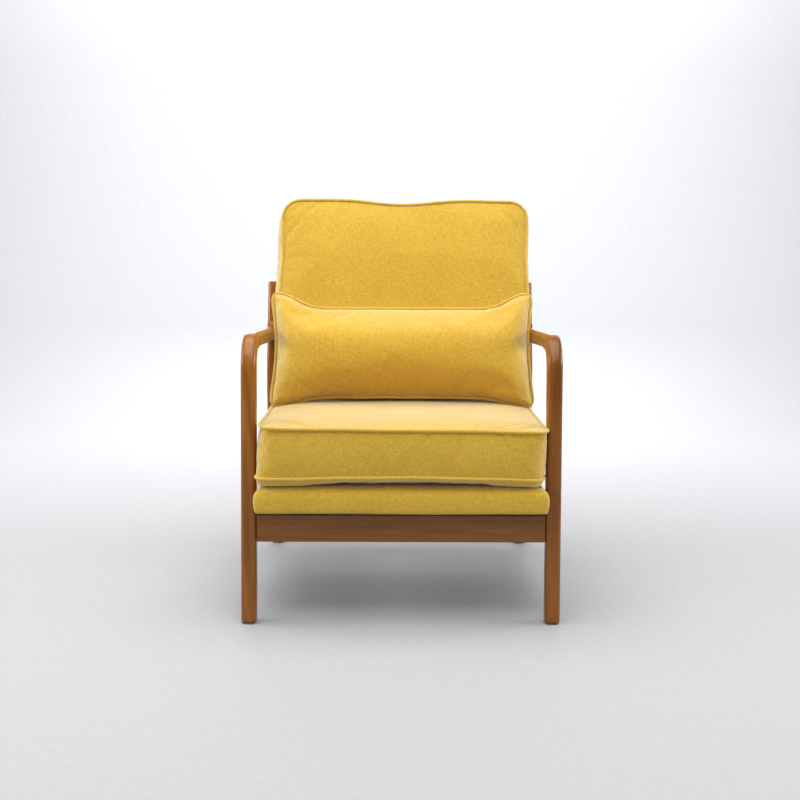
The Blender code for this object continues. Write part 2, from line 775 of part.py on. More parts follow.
def platform_screw(name, end, sign):
    """A pan-head screw up through the corner block into the platform's board."""
    start, direction, hole = screw_place(end, sign)
    length = hole[-1][0] - GAP
    profile = [
        (0.0, SCREW_CROWN_RADIUS),
        (SCREW_HEAD_RIM, SCREW_HEAD_RADIUS),
        (SCREW_HEAD_HEIGHT - GAP, SCREW_HEAD_RADIUS),
        (SCREW_HEAD_HEIGHT - GAP, SCREW_RADIUS),
        (length - SCREW_POINT_LENGTH, SCREW_RADIUS),
        (length, SCREW_POINT_RADIUS),
    ]
    return turned(name, start, direction, profile, STEEL)


# ---- Seat platform ----


def platform_pieces():
    """The dust cover, the board and the padded, covered body of the platform."""
    half = PLATFORM_HALF_WIDTH
    cover = block(
        "dust_cover",
        at(-half + COVER_INSET, PLATFORM_FRONT + COVER_INSET, COVER_BOTTOM),
        at(half - COVER_INSET, PLATFORM_BACK - COVER_INSET, COVER_BOTTOM + COVER_THICKNESS),
        LINING,
    )
    board_low = at(-half + BOARD_INSET, PLATFORM_FRONT + BOARD_INSET, PLATFORM_BOTTOM)
    board_high = at(half - BOARD_INSET, PLATFORM_BACK - BOARD_INSET, PLATFORM_BOTTOM + BOARD_THICKNESS)
    board = block("platform_board", board_low, board_high, PLY)
    pad_low = at(-half, PLATFORM_FRONT, PLATFORM_BOTTOM)
    pad_high = at(half, PLATFORM_BACK, PLATFORM_TOP)
    pad = block("platform_pad", pad_low, pad_high, FABRIC)
    round_edges(pad, PLATFORM_EDGE, PLATFORM_EDGE_STEPS)
    margin = Vector((GAP, GAP, GAP))
    below = PLATFORM_EDGE * AXIS_Z
    cut(pad, block("cut_platform_pad_board", board_low - margin - below, board_high + margin, None))
    for end in ("front", "rear"):
        for side, sign in SIDES.items():
            for piece in (cover, board):
                drill(piece, f"screw_{end}_{side}", *screw_place(end, sign))


# ---- Cushions ----


def cushion(name, profile):
    """A box cushion: its side profile, as (depth, height) points, across the chair, with round edges."""
    outline = [at(-CUSHION_HALF_WIDTH, *point) for point in profile]
    made = prism(name, outline, 2 * CUSHION_HALF_WIDTH * AXIS_X, FABRIC)
    return round_edges(made, CUSHION_EDGE, CUSHION_EDGE_STEPS)


def seat_cushion():
    bottom = PLATFORM_TOP + CUSHION_GAP
    profile = [
        (SEAT_CUSHION_FRONT, bottom),
        (SEAT_CUSHION_BACK, bottom),
        (SEAT_CUSHION_BACK, SEAT_CUSHION_TOP),
        (SEAT_CUSHION_FRONT, SEAT_CUSHION_TOP),
    ]
    return cushion("seat_cushion", profile)


def back_cushion():
    """It leans back, and is squashed flat where it stands on the seat cushion."""
    bottom = SEAT_CUSHION_TOP + CUSHION_GAP
    up = Vector((math.sin(RECLINE), math.cos(RECLINE)))
    rearwards = Vector((math.cos(RECLINE), -math.sin(RECLINE)))
    face = Vector((BACK_FACE_DEPTH, BACK_FACE_HEIGHT))
    top_front = face + (BACK_CUSHION_TOP - BACK_FACE_HEIGHT) / up.y * up
    bottom_front = face + (bottom - BACK_FACE_HEIGHT) / up.y * up
    profile = [
        bottom_front,
        Vector((back_cushion_rear(bottom), bottom)),
        top_front + BACK_CUSHION_THICKNESS * rearwards,
        top_front,
    ]
    return cushion("back_cushion", profile)


def softened(value, power):
    """A sine or cosine raised to a power that squares off the curve, with its sign kept."""
    return math.copysign(abs(value) ** power, value)


def lumbar_pillow():
    """A plump pillow that leans on the back cushion: a rectangle in plan that thins to its edge."""
    rearwards, up = lean_axes(RECLINE)
    face_depth = BACK_FACE_DEPTH + (PILLOW_CENTRE_HEIGHT - BACK_FACE_HEIGHT) * math.tan(RECLINE)
    away = PILLOW_HALF_THICKNESS + CUSHION_GAP
    centre = at(0, face_depth - away / math.cos(RECLINE), PILLOW_CENTRE_HEIGHT)
    shape = bmesh.new()
    poles = [shape.verts.new(centre - sign * PILLOW_HALF_THICKNESS * rearwards) for sign in (1, -1)]
    loops = []
    for row in range(1, PILLOW_ROWS):
        latitude = math.pi * (row / PILLOW_ROWS - 0.5)
        spread = softened(math.cos(latitude), PILLOW_THICKNESS_POWER)
        thickness = PILLOW_HALF_THICKNESS * softened(math.sin(latitude), 1.0)
        loop = []
        for column in range(PILLOW_COLUMNS):
            longitude = 2 * math.pi * column / PILLOW_COLUMNS
            x = PILLOW_HALF_WIDTH * spread * softened(math.cos(longitude), PILLOW_PLAN_POWER)
            rise = PILLOW_HALF_HEIGHT * spread * softened(math.sin(longitude), PILLOW_PLAN_POWER)
            loop.append(shape.verts.new(centre + x * AXIS_X + rise * up + thickness * rearwards))
        loops.append(loop)
    for near, far in zip(loops, loops[1:]):
        for i, vert in enumerate(near):
            j = (i + 1) % PILLOW_COLUMNS
            shape.faces.new((vert, near[j], far[j], far[i]))
    for pole, loop in zip(poles, (loops[0], loops[-1])):
        for i, vert in enumerate(loop):
            shape.faces.new((pole, vert, loop[(i + 1) % PILLOW_COLUMNS]))
    return add_object("lumbar_pillow", shape, FABRIC)


# ---- The chair ----


def build_side(side, sign):
    """One side frame with its dowels, glides, bolts and nuts."""
    rear_bolt_depth = post_centre_at(BOLT_HEIGHT).x
    front_leg(side, sign)
    armrest(side, sign)
    rear_post(side, sign)
    side_rail(side, sign)
    arm_way = in_side(arm_direction())
    dowel(f"arm_front_dowel_{side}", arm_front_middle(sign), arm_way)
    dowel(f"arm_rear_dowel_{side}", arm_rear_middle(sign), arm_way)
    dowel(f"side_front_dowel_{side}", side_dowel_middle(sign, front=True), AXIS_Y)
    dowel(f"side_rear_dowel_{side}", side_dowel_middle(sign, front=False), AXIS_Y)
    glide(f"front_glide_{side}", sign * BAR_X, 0.0, LEG_DEPTH)
    foot = post_centre_at(GLIDE_HEIGHT).x
    foot_length = FOOT_THICKNESS / post_direction(upper=False).y
    glide(f"rear_glide_{side}", sign * BAR_X, foot, foot_length)
    for end, depth in (("front", 0.0), ("rear", rear_bolt_depth)):
        bolt(f"{end}_bolt_{side}", sign, depth)
        barrel_nut(f"{end}_barrel_nut_{side}", sign, depth)
        corner_block(end, side, sign)
        platform_screw(f"platform_screw_{end}_{side}", end, sign)


def build_chair():
    for side, sign in SIDES.items():
        build_side(side, sign)
    cross_rail("front_rail", front_rail_middle())
    cross_rail("rear_rail", REAR_RAIL_DEPTH)
    centre_stretcher()
    for name, centre, lean, height in back_members():
        back_member(name, centre, lean, height)
    platform_pieces()
    seat_cushion()
    back_cushion()
    lumbar_pillow()


clear_scene()
build_chair()
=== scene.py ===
import json
import math
import random

import bpy
import numpy as np
from mathutils import Matrix, Vector, noise
from mathutils.kdtree import KDTree


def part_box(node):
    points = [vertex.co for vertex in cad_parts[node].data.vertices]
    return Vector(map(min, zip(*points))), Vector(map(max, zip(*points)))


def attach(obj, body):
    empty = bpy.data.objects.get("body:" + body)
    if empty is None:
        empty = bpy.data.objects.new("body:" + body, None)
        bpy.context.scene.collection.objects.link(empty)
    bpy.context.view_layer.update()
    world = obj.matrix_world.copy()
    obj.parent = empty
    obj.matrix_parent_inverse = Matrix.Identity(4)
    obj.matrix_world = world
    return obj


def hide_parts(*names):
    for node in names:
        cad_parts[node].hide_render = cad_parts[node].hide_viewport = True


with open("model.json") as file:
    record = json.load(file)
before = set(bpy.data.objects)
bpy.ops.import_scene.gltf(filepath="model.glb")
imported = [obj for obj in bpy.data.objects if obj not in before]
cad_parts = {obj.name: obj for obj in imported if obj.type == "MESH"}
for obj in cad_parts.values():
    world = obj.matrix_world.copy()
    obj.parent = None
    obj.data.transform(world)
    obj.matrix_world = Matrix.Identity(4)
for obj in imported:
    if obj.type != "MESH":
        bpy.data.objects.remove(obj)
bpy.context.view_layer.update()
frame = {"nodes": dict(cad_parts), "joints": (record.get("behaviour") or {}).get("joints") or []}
scene = bpy.context.scene

# %% [markdown]
# Depths are easier to think about when they are counted backwards from the front legs, as a chair maker
# does. The leg is 36 mm deep, so its own box gives where depth zero lies. The back's lean is read from the
# axis along which the back cushion lifts.
# %% Places on the chair
LEG_DEPTH = 0.036
GAP = 0.0004  # between two pieces that touch
front_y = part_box("front_leg_left")[0].y + LEG_DEPTH / 2  # the middle of the front legs
inner_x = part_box("front_leg_right")[0].x
lift_axis = next(Vector(j["axis"]) for j in frame["joints"] if j["name"] == "back_cushion_lift")
recline = math.atan2(lift_axis.y, lift_axis.z)
print(f"depth zero at y {front_y:.4f}, legs' inner faces at x {inner_x:.4f}")
print(f"the back leans by {math.degrees(recline):.1f} degrees")

# %% [markdown]
# The chair is seen from the front, a little from above. A tall shift lens keeps the legs nearly upright,
# as in furniture catalogues, so the camera looks down by less than four degrees.
# %% Camera
CAMERA_X = -0.0229
CAMERA_DEPTH = -2.4044
CAMERA_HEIGHT = 0.7810
CAMERA_YAW = math.radians(0.444)
CAMERA_PITCH = math.radians(3.546)
CAMERA_ROLL = math.radians(0.280)
LENS = 55.47
SHIFT_UP = -0.1194

lens = bpy.data.cameras.new("camera")
lens.lens = LENS
lens.sensor_width = 36
lens.shift_y = SHIFT_UP
camera = bpy.data.objects.new("camera", lens)
scene.collection.objects.link(camera)
turn = Matrix.Rotation(-CAMERA_YAW, 4, "Z") @ Matrix.Rotation(math.pi / 2 - CAMERA_PITCH, 4, "X")
turn = turn @ Matrix.Rotation(CAMERA_ROLL, 4, "Z")
camera.matrix_world = Matrix.Translation((CAMERA_X, front_y + CAMERA_DEPTH, CAMERA_HEIGHT)) @ turn
scene.camera = camera
print("camera at", tuple(round(value, 3) for value in camera.location))

# %% [markdown]
# Blender's operators act on whatever is selected. These three helpers select one object alone, add a box
# between two corners, and bevel only the edges that a rule picks out.
# %% Helpers for modelling


def only(piece):
    """Selects one object and nothing else."""
    bpy.ops.object.select_all(action="DESELECT")
    piece.select_set(True)
    bpy.context.view_layer.objects.active = piece


def apply_all(piece):
    """Applies every modifier of a piece, in order."""
    only(piece)
    for modifier in list(piece.modifiers):
        bpy.ops.object.modifier_apply(modifier=modifier.name)


def new_box(name, low, high):
    """A box between two corners, as a start for a piece."""
    bpy.ops.object.select_all(action="DESELECT")
    low, high = Vector(low), Vector(high)
    bpy.ops.mesh.primitive_cube_add(size=1, location=(low + high) / 2)
    box = bpy.context.object
    box.scale = high - low
    bpy.ops.object.transform_apply(location=True, rotation=True, scale=True)
    box.name = name
    return box


def bevel_edges(piece, chosen, width, segments):
    """Bevels the edges for which chosen(start, end) holds."""
    only(piece)
    bpy.ops.object.mode_set(mode="EDIT")
    bpy.ops.mesh.select_mode(type="EDGE")
    bpy.ops.mesh.select_all(action="DESELECT")
    bpy.ops.object.mode_set(mode="OBJECT")
    points = piece.data.vertices
    for edge in piece.data.edges:
        start, end = edge.vertices
        edge.select = chosen(points[start].co, points[end].co)
    bpy.ops.object.mode_set(mode="EDIT")
    bpy.ops.mesh.bevel(offset=width, segments=segments)
    bpy.ops.object.mode_set(mode="OBJECT")


def coordinates(piece):
    """The piece's points, as an array with a row for each."""
    flat = np.empty(len(piece.data.vertices) * 3, np.float32)
    piece.data.vertices.foreach_get("co", flat)
    return flat.reshape(-1, 3).astype(float)


def set_coordinates(piece, points):
    piece.data.vertices.foreach_set("co", np.asarray(points, np.float32).ravel())
    piece.data.update()


def ease(value, start, end):
    """Rises smoothly from 0 at start to 1 at end."""
    share = np.clip((np.asarray(value, float) - start) / (end - start), 0.0, 1.0)
    return share * share * (3 - 2 * share)


# %% [markdown]
# A material is a small sum. Writing it as Python arithmetic keeps it readable, so a Signal wraps a socket,
# and each operator on it adds the Math node that does that step.
# %% Helpers for materials


class Signal:
    """A socket in a finish's node tree."""

    def __init__(self, finish, socket):
        self.finish = finish
        self.socket = socket

    def math(self, operation, *values):
        return self.finish.node("Math", {"operation": operation}, dict(enumerate(values)))

    def __add__(self, other):
        return self.math("ADD", self, other)

    def __sub__(self, other):
        return self.math("SUBTRACT", self, other)

    def __rsub__(self, other):
        return self.math("SUBTRACT", other, self)

    def __mul__(self, other):
        return self.math("MULTIPLY", self, other)

    def __abs__(self):
        return self.math("ABSOLUTE", self)

    __radd__ = __add__
    __rmul__ = __mul__

    def sine(self):
        return self.math("SINE", self)

    def clamped(self, low, high):
        """This signal as a share of the way from low to high, kept between 0 and 1."""
        ranges = {"From Min": low, "From Max": high}
        return self.finish.node("MapRange", {"clamp": True}, {"Value": self, **ranges})

    def output(self, name):
        """Another output of the node that this signal comes from."""
        return Signal(self.finish, self.socket.node.outputs[name])

    def colour(self):
        """The colour output of the node that this signal comes from."""
        outputs = self.socket.node.outputs
        return Signal(self.finish, next(socket for socket in outputs if socket.type == "RGBA"))


class Finish:
    """A material built around one Principled shader."""

    def __init__(self, name, **constants):
        self.material = bpy.data.materials.new(name)
        self.material.use_nodes = True
        self.tree = self.material.node_tree
        self.shader = self.tree.nodes["Principled BSDF"]
        for socket, value in constants.items():
            self.shader.inputs[socket.replace("_", " ")].default_value = value

    def node(self, kind, settings=None, values=None):
        """Adds a node: its settings first, then the values or links of its sockets."""
        made = self.tree.nodes.new("ShaderNode" + kind)
        for name, value in (settings or {}).items():
            if name == "stops":
                self.set_stops(made.color_ramp.elements, value)
            else:
                setattr(made, name, value)
        for name, value in (values or {}).items():
            self.connect(made.inputs[name], value)
        shown = [socket for socket in made.outputs if socket.enabled]
        return Signal(self, shown[0])

    def set_stops(self, elements, stops):
        while len(elements) < len(stops):
            elements.new(1.0)
        for element, (place, colour) in zip(elements, stops):
            element.position = place
            element.color = (*colour, 1.0)

    def connect(self, socket, value):
        if isinstance(value, Signal):
            self.tree.links.new(value.socket, socket)
        else:
            socket.default_value = value

    def feed(self, name, value):
        self.connect(self.shader.inputs[name], value)

    def noise(self, place, stretch, detail=2.0, roughness=0.5):
        """A noise whose grain is stretch times as fine along each direction."""
        scaled = self.node("Mapping", {}, {"Vector": place, "Scale": stretch})
        values = {"Vector": scaled, "Scale": 1.0, "Detail": detail, "Roughness": roughness}
        return self.node("TexNoise", {}, values)

    def mix(self, share, first, second):
        """A colour between two colours."""
        made = self.node("Mix", {"data_type": "RGBA"}, {"Factor": share})
        inputs = made.socket.node.inputs
        colours = [socket for socket in inputs if socket.type == "RGBA"]
        for socket, value in zip(colours, (first, second)):
            self.connect(socket, value)
        return made.colour()

    def bump(self, height, strength, distance):
        values = {"Height": height, "Strength": strength, "Distance": distance}
        self.feed("Normal", self.node("Bump", {}, values))


# %% [markdown]
# The timber is a close-grained hardwood with a brown stain. Growth rings are the long cones of the tree,
# so the distance from a slightly tilted pith line gives straight lines on one face and arches on another.
# Each piece carries an attribute called grain: along the grain, across it and through it, in metres.
# %% Stained wood
PITH_DEPTH = 0.030  # from a board's middle to the middle of the tree
PITH_TILT = 0.022
PITH_WANDER = 0.016
RING_WANDER = 0.008
PORE_SHADE = 0.45


def wood_finish(name, dark, middle, light, ring_pitch, contrast):
    wood = Finish(name, IOR=1.5, Specular_IOR_Level=0.20, Coat_Weight=0.30, Coat_Roughness=0.12)
    grain = wood.node("Attribute", {"attribute_name": "grain"}).output("Vector")
    bend = wood.noise(grain, (1.6, 9.0, 9.0), detail=3.0)
    parts = wood.node("SeparateXYZ", {}, {"Vector": grain})
    along, across, through = (parts.output(axis) for axis in "XYZ")
    pith = through + along * PITH_TILT + bend * PITH_WANDER + PITH_DEPTH
    reach = wood.node("CombineXYZ", {}, {"X": across + bend * RING_WANDER, "Y": pith, "Z": 0.0})
    radius = wood.node("VectorMath", {"operation": "LENGTH"}, {0: reach}).output("Value")
    rings = (radius * (2 * math.pi / ring_pitch)).sine() * 0.5 + 0.5
    fibres = wood.noise(grain, (9.0, 620.0, 620.0), detail=4.0, roughness=0.6)
    clouds = wood.noise(grain, (2.2, 22.0, 22.0), detail=3.0)
    pores = wood.noise(grain, (48.0, 1500.0, 1500.0), detail=1.0).clamped(0.60, 0.70)
    tone = rings * contrast + fibres * 0.55 + clouds * 0.65 - (0.10 + contrast / 2)
    stops = [(0.22, dark), (0.50, middle), (0.80, light)]
    stain = wood.node("ValToRGB", {"stops": stops}, {"Fac": tone})
    pore_colour = (*[PORE_SHADE * part for part in dark], 1.0)
    wood.feed("Base Color", wood.mix(pores * 0.45, stain, pore_colour))
    wood.feed("Roughness", fibres * 0.16 + pores * 0.15 + 0.24)
    wood.bump(fibres * 0.5 + rings * 0.2 - pores, 0.30, 0.0003)
    return wood.material


stained_wood = wood_finish(
    "stained_wood",
    dark=(0.140, 0.041, 0.003),
    middle=(0.245, 0.080, 0.006),
    light=(0.390, 0.145, 0.015),
    ring_pitch=0.0052,
    contrast=0.14,
)
dark_wood = wood_finish(
    "dark_stained_wood",
    dark=(0.150, 0.048, 0.007),
    middle=(0.255, 0.089, 0.013),
    light=(0.350, 0.134, 0.024),
    ring_pitch=0.0060,
    contrast=0.10,
)
print("wood finishes:", stained_wood.name, dark_wood.name)

# %% [markdown]
# The CAD pieces arrive as loose triangles, which shade flat. A merged copy of each shows the same shape
# with smooth roundings: doubles are merged, edges under 35 degrees are smoothed, and normals are weighted
# by face area, so that flat faces stay flat.
# %% Merged copies of the frame's pieces
SMOOTH_ANGLE = math.radians(35)
MERGE_DISTANCE = 0.00001


def merged_copy(node, name):
    """A welded, smooth copy of a CAD node, which it stands for."""
    copy = frame["nodes"][node].copy()
    copy.data = frame["nodes"][node].data.copy()
    copy.name = name
    copy.parent = None
    copy.matrix_world = Matrix()
    scene.collection.objects.link(copy)
    only(copy)
    bpy.ops.object.mode_set(mode="EDIT")
    bpy.ops.mesh.select_all(action="SELECT")
    bpy.ops.mesh.remove_doubles(threshold=MERGE_DISTANCE)
    bpy.ops.object.mode_set(mode="OBJECT")
    bpy.ops.object.shade_smooth_by_angle(angle=SMOOTH_ANGLE)
    weighted = copy.modifiers.new("weighted", "WEIGHTED_NORMAL")
    weighted.keep_sharp = True
    apply_all(copy)
    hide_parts(node)
    return copy


# %% [markdown]
# Grain runs along each member: up the legs, back along the armrests, and across on the rails. Each rule
# says which axis the grain follows, which lies across it and which goes through the board. The front leg
# bends into the arm, and its grain turns with it, as in a leg that was bent or laminated.
# %% Grain
BEND_RADIUS = 0.068
along_x, along_y, along_z = (0, 1, 2), (1, 0, 2), (2, 0, 1)
flat_sawn_x = (0, 2, 1)
dark_pieces = ("front_rail", "rear_rail", "centre_stretcher")
grain_of = {"front_rail": flat_sawn_x, "rear_rail": flat_sawn_x, "centre_stretcher": along_y}
grain_of |= {"back_top_rail": along_x, "back_slat_upper": along_x, "back_slat_lower": along_x}
for side in ("left", "right"):
    grain_of |= {f"front_leg_{side}": along_z, f"rear_post_{side}": along_z}
    grain_of |= {f"armrest_{side}": along_y, f"side_rail_{side}": along_y}


def bent_grain(points, top):
    """Straight up the leg, then round the bend that ends in the armrest."""
    centre_y = front_y - LEG_DEPTH / 2 + BEND_RADIUS
    centre_z = top - BEND_RADIUS
    rise = points[:, 2] - centre_z
    back = centre_y - points[:, 1]
    turned = np.arctan2(np.maximum(rise, 0.0), back)
    radius = np.where(rise > 0, np.hypot(rise, back), back)
    middle = BEND_RADIUS - LEG_DEPTH / 2
    along = np.where(rise > 0, centre_z + middle * turned, points[:, 2])
    return np.stack([along, points[:, 0], radius - BEND_RADIUS], axis=1)


def lay_grain(piece, node):
    """Stores the grain's coordinates, moved so that no two boards are cut from the same place."""
    points = coordinates(piece)
    if node.startswith("front_leg"):
        grain = bent_grain(points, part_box(node)[1].z)
    else:
        grain = points[:, list(grain_of[node])]
    grain -= (grain.min(axis=0) + grain.max(axis=0)) / 2
    draw = random.Random(node)
    grain += [draw.uniform(-3, 3), draw.uniform(-0.012, 0.012), draw.uniform(-0.01, 0.02)]
    layer = piece.data.attributes.new("grain", "FLOAT_VECTOR", "POINT")
    layer.data.foreach_set("vector", grain.astype(np.float32).ravel())


for node in grain_of:
    piece = merged_copy(node, f"finished_{node}")
    lay_grain(piece, node)
    dark = node in dark_pieces
    piece.data.materials.clear()
    piece.data.materials.append(dark_wood if dark else stained_wood)
    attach(piece, "frame")
print("wooden pieces:", len(grain_of))

# %% [markdown]
# The hardware is small, but it is handled, so each kind has its own finish: brushed plated steel, a dull
# grey-green nylon under the feet, birch plywood inside, and a black non-woven lining under the seat.
# %% Hardware finishes


def steel_finish():
    steel = Finish("steel", Metallic=1.0)
    place = steel.node("TexCoord").output("Object")
    brushed = steel.noise(place, (900.0, 120.0, 900.0), detail=3.0)
    stops = [(0.3, (0.30, 0.28, 0.25)), (0.7, (0.52, 0.50, 0.46))]
    steel.feed("Base Color", steel.node("ValToRGB", {"stops": stops}, {"Fac": brushed}))
    steel.feed("Roughness", brushed * 0.30 + 0.20)
    steel.bump(brushed, 0.12, 0.0001)
    return steel.material


def nylon_finish():
    nylon = Finish("grey_glide", IOR=1.5)
    place = nylon.node("TexCoord").output("Object")
    specks = nylon.noise(place, (900.0, 900.0, 900.0), detail=3.0)
    scuffs = nylon.noise(place, (60.0, 420.0, 60.0), detail=4.0)
    stops = [(0.3, (0.055, 0.062, 0.055)), (0.7, (0.12, 0.13, 0.115))]
    nylon.feed("Base Color", nylon.node("ValToRGB", {"stops": stops}, {"Fac": scuffs}))
    nylon.feed("Roughness", scuffs * 0.35 + 0.40)
    nylon.bump(specks, 0.25, 0.0002)
    return nylon.material


PLY_PITCH = 0.003


def plywood_finish():
    ply = Finish("plywood", IOR=1.5)
    place = ply.node("TexCoord").output("Object")
    fibres = ply.noise(place, (14.0, 380.0, 380.0), detail=4.0, roughness=0.6)
    height = ply.node("SeparateXYZ", {}, {"Vector": place}).output("Z")
    layers = (height * (2 * math.pi / PLY_PITCH)).sine() * 0.5 + 0.5
    stops = [(0.25, (0.36, 0.22, 0.10)), (0.75, (0.66, 0.48, 0.28))]
    tone = fibres * 0.8 + layers * 0.2
    ply.feed("Base Color", ply.node("ValToRGB", {"stops": stops}, {"Fac": tone}))
    ply.feed("Roughness", fibres * 0.2 + 0.55)
    ply.bump(fibres, 0.3, 0.0003)
    return ply.material


def lining_finish():
    lining = Finish("black_lining", Roughness=0.95)
    place = lining.node("TexCoord").output("Object")
    felt = lining.noise(place, (1400.0, 1400.0, 1400.0), detail=3.0)
    stops = [(0.3, (0.006, 0.006, 0.007)), (0.7, (0.030, 0.030, 0.032))]
    lining.feed("Base Color", lining.node("ValToRGB", {"stops": stops}, {"Fac": felt}))
    lining.bump(felt, 0.5, 0.0003)
    return lining.material


slot_materials = {
    "steel": steel_finish(),
    "grey_glide": nylon_finish(),
    "plywood": plywood_finish(),
    "black_lining": lining_finish(),
}

# %% [markdown]
# Bolt heads and glides show, so they get smooth merged copies. Dowels, nuts, screws, blocks and the board
# are hidden inside the chair: their CAD shapes are right, and only take the new finish.
# %% Dress the hardware
steel_names = ("bolt", "barrel_nut", "platform_screw")
shown_hardware = ("front_bolt", "rear_bolt", "front_glide", "rear_glide")


def slot_of(node):
    """The material slot of a piece of hardware, by its name."""
    if "glide" in node:
        return "grey_glide"
    if any(word in node for word in steel_names):
        return "steel"
    return "plywood"


soft_nodes = {"seat_cushion", "back_cushion", "lumbar_pillow", "platform_pad", "dust_cover"}
for node in sorted(set(frame["nodes"]) - set(grain_of) - soft_nodes):
    slot = slot_of(node)
    piece = frame["nodes"][node]
    if node.startswith(shown_hardware):
        piece = merged_copy(node, f"finished_{node}")
        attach(piece, "frame")
        piece.data.materials.clear()
        piece.data.materials.append(slot_materials[slot])
    else:
        for place in piece.material_slots:
            place.material = slot_materials[slot]
print("hardware dressed")

# %% [markdown]
# The lining is a sheet of black non-woven cloth, stretched and stapled under the seat. Its holes for the
# four screws are in the CAD piece, so a welded copy of that is the sheet.
# %% Dust cover
dust_cover = merged_copy("dust_cover", "seat_lining")
dust_cover.data.materials.clear()
dust_cover.data.materials.append(slot_materials["black_lining"])
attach(dust_cover, "frame")

# %% [markdown]
# The cloth is a plain weave of uneven, two-tone yarns. Sines draw the round threads and say which thread
# lies on top, and noises stretched along each thread direction give the yarns their pale and dark slubs.
# It reads a UV map in metres, so that threads keep their size and follow the folds of each panel.
# %% Mustard cloth
THREAD = 0.0012
SLUB_LENGTH = 0.015


def cloth_finish():
    cloth = Finish("mustard_fabric", Sheen_Weight=0.85, Sheen_Roughness=0.50)
    cloth.shader.inputs["Sheen Tint"].default_value = (1.0, 0.97, 0.78, 1.0)
    place = cloth.node("UVMap", {"uv_map": "weave"})
    parts = cloth.node("SeparateXYZ", {}, {"Vector": place})
    warp = (parts.output("X") * (math.pi / THREAD)).sine()
    weft = (parts.output("Y") * (math.pi / THREAD)).sine()
    over = (warp * weft).clamped(-0.15, 0.15)
    under = 1 - over
    fine, long = 1 / (1.3 * THREAD), 1 / SLUB_LENGTH
    warp_yarn = cloth.noise(place, (fine, long, 1.0), detail=2.0)
    weft_yarn = cloth.noise(place, (long, fine, 1.0), detail=2.0)
    broad_warp = cloth.noise(place, (fine / 3, long * 2, 1.0), detail=1.0)
    broad_weft = cloth.noise(place, (long * 2, fine / 3, 1.0), detail=1.0)
    clouds = cloth.noise(place, (9.0, 9.0, 1.0), detail=2.0)
    yarn = warp_yarn * over + weft_yarn * under
    tone = yarn * 0.62 + (broad_warp + broad_weft) * 0.14 + clouds * 0.12 - 0.010
    stops = [(0.26, (0.390, 0.208, 0.008)), (0.46, (0.580, 0.345, 0.016))]
    stops += [(0.56, (0.660, 0.415, 0.027)), (0.76, (0.785, 0.580, 0.105))]
    cloth.feed("Base Color", cloth.node("ValToRGB", {"stops": stops}, {"Fac": tone}))
    cloth.feed("Roughness", 0.98 - yarn * 0.14)
    threads = abs(warp) * over + abs(weft) * under
    cloth.bump(threads * 0.6 + yarn * 0.9 + broad_warp + broad_weft, 0.45, 0.0006)
    return cloth.material


mustard = cloth_finish()


def lay_weave(piece, turned=0.0):
    """UVs in metres: each face is laid flat along its main direction, as the panel was cut."""
    mesh = piece.data
    normals = np.empty(len(mesh.polygons) * 3)
    mesh.polygons.foreach_get("normal", normals)
    main = np.abs(normals.reshape(-1, 3)).argmax(axis=1)
    sides = np.empty(len(mesh.polygons), np.int64)
    mesh.polygons.foreach_get("loop_total", sides)
    corner = np.empty(len(mesh.loops), np.int64)
    mesh.loops.foreach_get("vertex_index", corner)
    main = np.repeat(main, sides)
    points = coordinates(piece)[corner]
    across = np.where(main == 0, points[:, 1], points[:, 0])
    up = np.where(main == 2, points[:, 1], points[:, 2])
    cosine, sine = math.cos(turned), math.sin(turned)
    laid = np.stack([across * cosine - up * sine, across * sine + up * cosine], axis=1)
    layer = mesh.uv_layers.new(name="weave")
    layer.uv.foreach_set("vector", laid.astype(np.float32).ravel())


# %% [markdown]
# Every cushion is blown up like a real one. A closed shape, a little smaller than the finished cushion, is
# remeshed to an even net, its seams are pinned, and Blender's cloth is inflated against them for a few
# frames. On the foam cushions the push is then capped, so that they keep their shape.
# %% Blow up a cushion
CLOTH_STIFFNESS = 15.0
CLOTH_MASS = 0.3
CLOTH_BENDING = 0.5


def even_net(piece, size):
    """Gives a closed shape an even net of small faces."""
    remesh = piece.modifiers.new("net", "REMESH")
    remesh.mode = "VOXEL"
    remesh.voxel_size = size
    apply_all(piece)


def blow_up(piece, pinned, frames, pressure, slack):
    """Inflates the piece as cloth, holding the pinned points, and returns its points."""
    group = piece.vertex_groups.new(name="seams")
    group.add([int(i) for i in np.flatnonzero(pinned)], 1.0, "REPLACE")
    cloth = piece.modifiers.new("cloth", "CLOTH")
    settings = cloth.settings
    settings.quality = 6
    settings.mass = CLOTH_MASS
    settings.tension_stiffness = CLOTH_STIFFNESS
    settings.compression_stiffness = CLOTH_STIFFNESS
    settings.shear_stiffness = CLOTH_STIFFNESS / 3
    settings.bending_stiffness = CLOTH_BENDING
    settings.shrink_min = -slack
    settings.use_pressure = True
    settings.uniform_pressure_force = pressure
    settings.effector_weights.gravity = 0.0
    settings.vertex_group_mass = "seams"
    cloth.point_cache.frame_end = frames
    for step in range(1, frames + 1):
        scene.frame_set(step)
    apply_all(piece)
    return coordinates(piece)


def capped(rest, moved, cap):
    """Limits how far each point has moved, softly, to the cap."""
    push = moved - rest
    length = np.maximum(np.linalg.norm(push, axis=1, keepdims=True), 1e-9)
    return rest + push / length * cap * np.tanh(length / cap)


def ripples(points, size, height, seed):
    """A smooth, uneven push for each point, from noise of the given size."""
    pushes = []
    for axis in range(3):
        shift = Vector((seed, -seed, 2.3 * seed + 17.0 * axis))
        pushes.append([noise.noise(Vector(point) / size + shift) for point in points])
    return height * np.array(pushes).T


